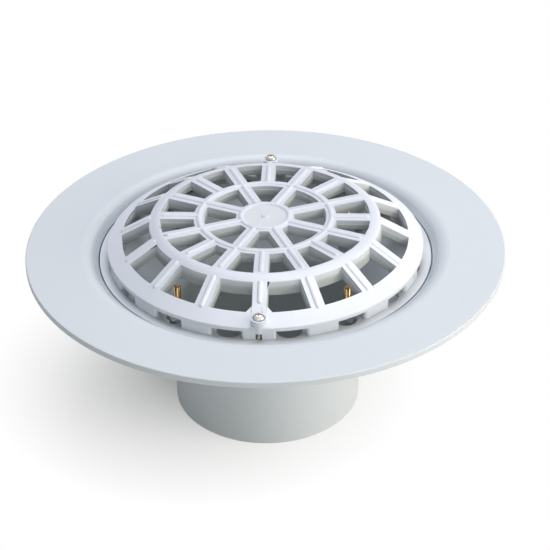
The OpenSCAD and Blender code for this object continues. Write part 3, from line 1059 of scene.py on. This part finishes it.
@dataclass
class ScrewSet:
    """The two strainer screws: a domed head with a cross recess on a cut thread."""

    HEAD_SIDES = 64
    HEAD_LEVELS = 14
    HEAD_RINGS = 6

    node: str = "strainer_screw_"
    pitch: float = 0.8 * MM
    thread_radius: float = 2.4 * MM
    head_height: float = 4.2 * MM
    cross_length: float = 5.3 * MM
    cross_width: float = 1.2 * MM
    cross_depth: float = 1.9 * MM
    fullness: float = 2.3
    crown_cut: float = 0.985

    def build(self, nodes: dict[str, bpy.types.Object], finishes: Finishes) -> None:
        """Grows both screws.

        Args:
            nodes: The CAD nodes by name; not used.
            finishes: The part's finishes.
        """
        boxes = [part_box(self.node + side) for side in SIDES]
        low, high = boxes[0]
        graph = GeometryGraph("cross_head_screws")
        head_r = graph.knob("Head Radius", 1.0)
        head_h = graph.knob("Head Height", 1.0)
        radius = graph.knob("Radius", 1.0)
        pitch = graph.knob("Pitch", 1.0)
        shank = graph.knob("Shank", 1.0)
        turns = graph.knob("Turns", 1.0)
        rod = graph.thread(radius, pitch, shank, turns)
        head = graph.moved(self._head(graph, head_r, head_h), graph.vector(z=shank))
        shank_length = high.z - low.z - self.head_height
        piece = graph.grow(
            "strainer_screws", graph.set_out(graph.joined(rod, head)),
            finishes.material(Finish.STEEL), [foot_of(box) for box in boxes],
            {"Head Radius": (high.x - low.x) / 2, "Head Height": self.head_height,
             "Radius": self.thread_radius, "Pitch": self.pitch, "Shank": shank_length,
             "Turns": (shank_length - self.pitch) / self.pitch})
        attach(piece, BODY)
        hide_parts(*(self.node + side for side in SIDES))
        log.info("screws grown with %d faces", len(piece.data.polygons))

    def _head(self, graph: GeometryGraph, radius: Field, height: Field) -> Field:
        """A domed head whose outline follows a superellipse, with a cross sunk in its top.

        Args:
            graph: The group that it is built in.
            radius: Radius of the head.
            height: Height of the head.

        Returns:
            The head, which stands on the group's origin.
        """
        blank = graph.moved(
            graph.field("GeometryNodeMeshCylinder", sockets={
                "Vertices": self.HEAD_SIDES, "Side Segments": self.HEAD_LEVELS,
                "Fill Segments": self.HEAD_RINGS, "Radius": radius, "Depth": height}),
            graph.vector(z=height * 0.5))
        level = (graph.height() / height * self.crown_cut).at_least(0.0)
        narrow = (1.0 - level ** self.fullness).at_least(0.0) ** (1.0 / self.fullness)
        dome = graph.reshaped(blank, graph.vector(narrow, narrow, 1.0))
        slots = []
        for turn in (0.0, math.pi / 2):
            bar = graph.field("GeometryNodeMeshCube", sockets={
                "Size": (self.cross_length, self.cross_width, 2 * self.cross_depth)})
            slots.append(graph.moved(bar, graph.vector(z=height), turn=(0.0, 0.0, turn)))
        cut = {"operation": "DIFFERENCE", "solver": "MANIFOLD"}
        return graph.field(
            "GeometryNodeMeshBoolean", cut, {"Mesh 1": dome, "Mesh 2": slots}, output="Mesh")


# ---- Studio ----


@dataclass(frozen=True)
class Softbox:
    """One square lamp: its name, where it hangs, its side, its power in watts and its colour."""

    name: str
    place: Triple
    side: float
    power: float
    colour: Colour

    def hang(self, aim: Vector) -> None:
        """Hangs the lamp.

        Args:
            aim: The point that it faces.
        """
        light = bpy.data.lights.new(self.name, "AREA")
        light.size = self.side
        light.energy = self.power
        light.color = self.colour
        lamp = bpy.data.objects.new(self.name, light)
        bpy.context.scene.collection.objects.link(lamp)
        turn = (aim - Vector(self.place)).to_track_quat("-Z", "Y").to_matrix().to_4x4()
        lamp.matrix_world = Matrix.Translation(self.place) @ turn


@dataclass
class Studio:
    """A pale floor, soft lamps, a white surround and the camera."""

    LAMPS = (
        Softbox("top_softbox", (0.1, 0.6, 2.2), 1.6, 39.0, (0.94, 0.965, 1.10)),
        Softbox("side_softbox", (1.9, -0.5, 0.5), 0.9, 17.0, (1.02, 0.99, 0.985)),
        Softbox("key_softbox", (1.55, -0.15, 1.05), 0.9, 7.3, (1.14, 1.07, 0.80)),
        Softbox("right_fill", (1.2, -1.3, 1.0), 0.9, 5.3, (1.0, 1.03, 0.97)),
        Softbox("front_fill", (0.0, -2.1, 0.8), 1.0, 8.0, (0.96, 1.0, 1.04)),
    )

    floor_side: float = 12.0
    floor_colour: Colour = (0.74, 0.725, 0.70)
    shadow_centre: Triple = (-0.06, 0.03, 0.0)
    shadow_reach: float = 0.193
    shadow_fade: float = 0.8
    eye: Triple = (0.0599, -1.2397, 0.9136)
    aim: Triple = (0.0077, 0.0003, 0.1193)
    roll: float = math.radians(0.756)
    lens: float = 113.7
    film_width: float = 36.0
    sight: float = 100.0
    ambient: float = 0.125
    ambient_colour: Colour = (0.90, 1.03, 1.07)

    def build(self) -> None:
        """Sets up the floor, the world, the lamps and the camera."""
        self._floor()
        self._world()
        for lamp in self.LAMPS:
            lamp.hang(Vector(self.aim))
        self._camera()
        log.info("studio set up")

    def _floor(self) -> None:
        """A plain floor that keeps the shadow near the drain and turns white further out."""
        half = self.floor_side / 2
        mesh = bpy.data.meshes.new("floor")
        corners = [(-half, -half, 0), (half, -half, 0), (half, half, 0), (-half, half, 0)]
        mesh.from_pydata(corners, [], [(0, 1, 2, 3)])
        floor = bpy.data.objects.new("floor", mesh)
        bpy.context.scene.collection.objects.link(floor)
        graph = SurfaceGraph("studio_floor")
        matt = graph.field("ShaderNodeBsdfDiffuse", sockets={"Color": opaque(self.floor_colour)})
        white = graph.field("ShaderNodeEmission", sockets={"Color": WHITE, "Strength": 1.0})
        away = graph.field("ShaderNodeVectorMath", {"operation": "DISTANCE"}, {
            0: graph.place, 1: self.shadow_centre}, output="Value")
        far = graph.math("MINIMUM", away / self.shadow_reach, 1.0) ** self.shadow_fade
        mixed = graph.field("ShaderNodeMixShader", sockets={
            0: graph.seen_plainly() * far, 1: matt, 2: white})
        graph.node("ShaderNodeOutputMaterial", sockets={"Surface": mixed})
        mesh.materials.append(graph.material)

    def _world(self) -> None:
        """White where it is seen or mirrored, and a soft ambient light for everything else."""
        world = bpy.data.worlds.new("surround")
        bpy.context.scene.world = world
        world.use_nodes = True
        graph = NodeGraph(world.node_tree)
        soft = graph.field("ShaderNodeBackground", sockets={
            "Color": opaque(self.ambient_colour), "Strength": self.ambient})
        white = graph.field("ShaderNodeBackground", sockets={"Color": WHITE, "Strength": 1.0})
        mixed = graph.field("ShaderNodeMixShader", sockets={
            0: graph.seen_plainly(), 1: soft, 2: white})
        graph.node("ShaderNodeOutputWorld", sockets={"Surface": mixed})

    def _camera(self) -> None:
        """Stands the camera and makes it the scene's own."""
        camera = bpy.data.objects.new("camera", bpy.data.cameras.new("camera"))
        camera.data.lens = self.lens
        camera.data.sensor_width = self.film_width
        camera.data.clip_end = self.sight
        forward = (Vector(self.aim) - Vector(self.eye)).normalized()
        level = forward.cross(Vector((0, 0, 1))).normalized()
        upright = level.cross(forward)
        right = level * math.cos(self.roll) - upright * math.sin(self.roll)
        up = upright * math.cos(self.roll) + level * math.sin(self.roll)
        turn = Matrix((right, up, -forward)).transposed()
        camera.matrix_world = Matrix.Translation(self.eye) @ turn.to_4x4()
        bpy.context.scene.collection.objects.link(camera)
        bpy.context.scene.camera = camera


# ---- Assembly ----


def main() -> None:
    """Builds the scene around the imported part."""
    logging.basicConfig(level=logging.INFO, format="%(name)s: %(message)s")
    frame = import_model()
    nodes = frame["nodes"]
    scene = bpy.context.scene
    scene.view_settings.view_transform = "Standard"
    finishes = Finishes(crown_height=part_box("dome_strainer")[1].z)
    for part in (DrainBody(), ClampSet(), DomeStrainer(), StudSet(), ScrewSet()):
        part.build(nodes, finishes)
    Studio().build()


if __name__ == "__main__":
    main()
